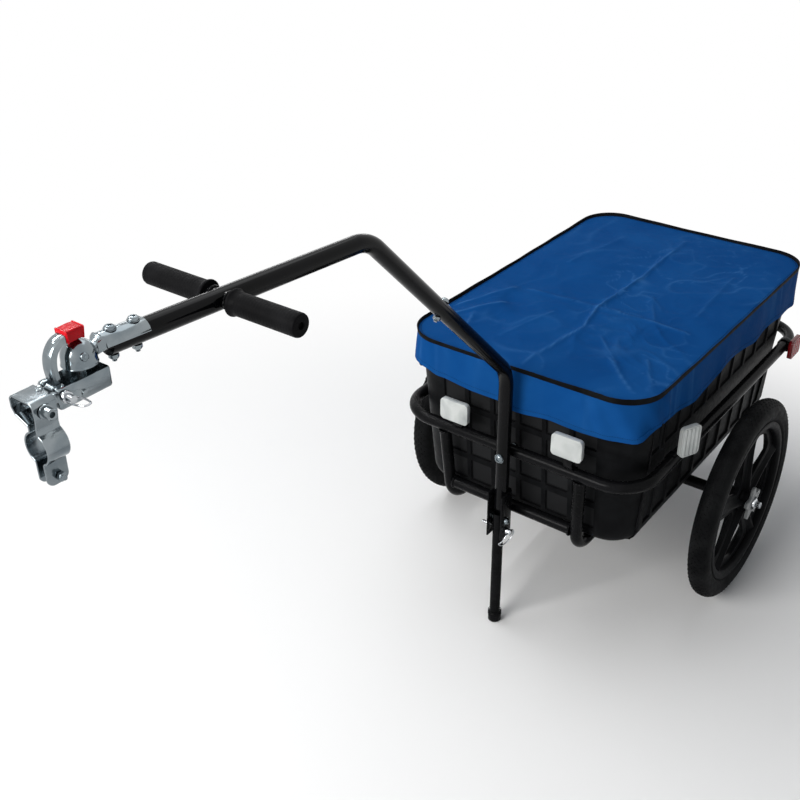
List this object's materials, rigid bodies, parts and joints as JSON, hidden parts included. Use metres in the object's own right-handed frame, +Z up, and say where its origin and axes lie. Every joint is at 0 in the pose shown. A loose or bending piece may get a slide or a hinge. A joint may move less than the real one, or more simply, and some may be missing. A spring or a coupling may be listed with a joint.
{
  "type": "bike cargo trailer",
  "caption": "Bicycle cargo trailer: ribbed moulded tub with a blue cloth cover in a tubular steel frame, spoked wheels, stand leg, bent tow bar with T-handle and ball hitch.",
  "frame": {"origin": "on the ground, under the middle of the outline box", "axes": "+X forward along the tow bar, +Y to the trailer's left, +Z up"},
  "size_m": [1.666, 0.699, 0.9569],
  "materials": {
    "black_gloss": "gloss black powder coat",
    "black_satin": "satin black powder coat",
    "black_plastic": "moulded black plastic with a fine grain",
    "grey_plastic": "light grey moulded plastic",
    "zinc": "bright zinc plate with a bluish tone",
    "chrome": "polished plate",
    "tyre": "matt black tyre rubber",
    "rubber": "soft matt black",
    "blue_cloth": "coated polyester cloth, slight sheen",
    "black_tape": "woven black edging",
    "white_lens": "clear white reflector lens",
    "red_lens": "red reflector lens",
    "teal_nylon": "moulded nylon",
    "red_sleeve": "red dipped vinyl"
  },
  "bodies": {
    "frame": {"frame_ring": "black_satin", "left_front_runner": "black_satin", "right_front_runner": "black_satin", "left_rear_runner": "black_satin", "right_rear_runner": "black_satin", "front_crossbar": "black_satin", "axle_tube": "black_satin", "axle_rod": "zinc", "left_axle_nut": "chrome", "right_axle_nut": "chrome", "tub": "black_plastic", "lower_tow_tube": "black_gloss", "upper_tow_tube": "black_gloss", "slip_joint_bolt": "zinc", "ring_bolt": "black_gloss", "left_handle_stub": "black_gloss", "right_handle_stub": "black_gloss", "left_grip": "rubber", "right_grip": "rubber", "leg_bracket": "black_satin", "leg_pivot_bolt": "zinc", "coupler_head": "zinc", "rear_saddle_bolt": "zinc", "front_saddle_bolt": "zinc", "left_front_reflector": "white_lens", "right_front_reflector": "white_lens", "left_side_reflector": "white_lens", "right_side_reflector": "white_lens", "left_rear_reflector": "red_lens", "right_rear_reflector": "red_lens", "left_front_reflector_bracket": "black_satin", "right_front_reflector_bracket": "black_satin", "left_side_reflector_bracket": "black_satin", "right_side_reflector_bracket": "black_satin", "left_rear_reflector_bracket": "black_satin", "right_rear_reflector_bracket": "black_satin"},
    "left_wheel": {"left_tyre": "tyre", "left_wheel_rim": "black_plastic", "left_hub_cap": "grey_plastic"},
    "right_wheel": {"right_tyre": "tyre", "right_wheel_rim": "black_plastic", "right_hub_cap": "grey_plastic"},
    "stand_leg": {"stand_leg": "black_satin"},
    "lynch_pin": {"lynch_pin": "chrome"},
    "lynch_ring": {"lynch_ring": "chrome"},
    "cover": {"cover": "blue_cloth", "cover_piping": "black_tape", "left_cover_hook": "black_tape", "right_cover_hook": "black_tape"},
    "socket_liner": {"socket_liner": "teal_nylon"},
    "hitch_ball": {"hitch_ball": "chrome"},
    "hitch": {"hitch_channel": "zinc", "seat_post_clamp": "zinc", "clamp_socket_bolt": "zinc", "clamp_tab_bolt": "zinc"},
    "safety_hook": {"safety_hook": "zinc", "hook_sleeve": "red_sleeve"},
    "quick_pin": {"quick_pin": "chrome"},
    "quick_pin_ring": {"quick_pin_ring": "chrome"}
  },
  "joints": [
    {"name": "left_wheel_spin", "type": "hinge", "parent": "frame", "child": "left_wheel", "pos_m": [-0.411, 0.309, 0.2], "axis": [0, 1, 0], "continuous": true},
    {"name": "right_wheel_spin", "type": "hinge", "parent": "frame", "child": "right_wheel", "pos_m": [-0.411, -0.309, 0.2], "axis": [0, 1, 0], "continuous": true},
    {"name": "stand_leg_fold", "type": "hinge", "parent": "frame", "child": "stand_leg", "pos_m": [-0.04, 0, 0.24], "axis": [0, -1, 0], "range_deg": [0, 95]},
    {"name": "lynch_pin_pull", "type": "slide", "parent": "frame", "child": "lynch_pin", "axis": [0, 1, 0], "range_m": [0, 0.06]},
    {"name": "lynch_ring_swing", "type": "hinge", "parent": "lynch_pin", "child": "lynch_ring", "pos_m": [-0.04, 0.024, 0.219], "axis": [1, 0, 0], "range_deg": [0, 100]},
    {"name": "cover_lift", "type": "slide", "parent": "frame", "child": "cover", "axis": [0, 0, 1], "range_m": [0, 0.2]},
    {"name": "hitch_yaw", "type": "hinge", "parent": "frame", "child": "socket_liner", "pos_m": [0.76, 0, 0.9235], "axis": [0, 0, 1], "range_deg": [-85, 85]},
    {"name": "hitch_pitch", "type": "hinge", "parent": "socket_liner", "child": "hitch_ball", "pos_m": [0.76, 0, 0.9235], "axis": [0, 1, 0], "range_deg": [-15, 15]},
    {"name": "hitch_roll", "type": "hinge", "parent": "hitch_ball", "child": "hitch", "pos_m": [0.76, 0, 0.9235], "axis": [1, 0, 0], "range_deg": [-12, 12]},
    {"name": "safety_hook_open", "type": "hinge", "parent": "hitch", "child": "safety_hook", "pos_m": [0.7955, 0, 0.9], "axis": [0, 1, 0], "range_deg": [0, 38]},
    {"name": "quick_pin_pull", "type": "slide", "parent": "hitch", "child": "quick_pin", "axis": [0, 1, 0], "range_m": [0, 0.05]},
    {"name": "quick_pin_ring_swing", "type": "hinge", "parent": "quick_pin", "child": "quick_pin_ring", "pos_m": [0.7955, 0.03, 0.9], "axis": [1, 0, 0], "range_deg": [-75, 45]}
  ]
}
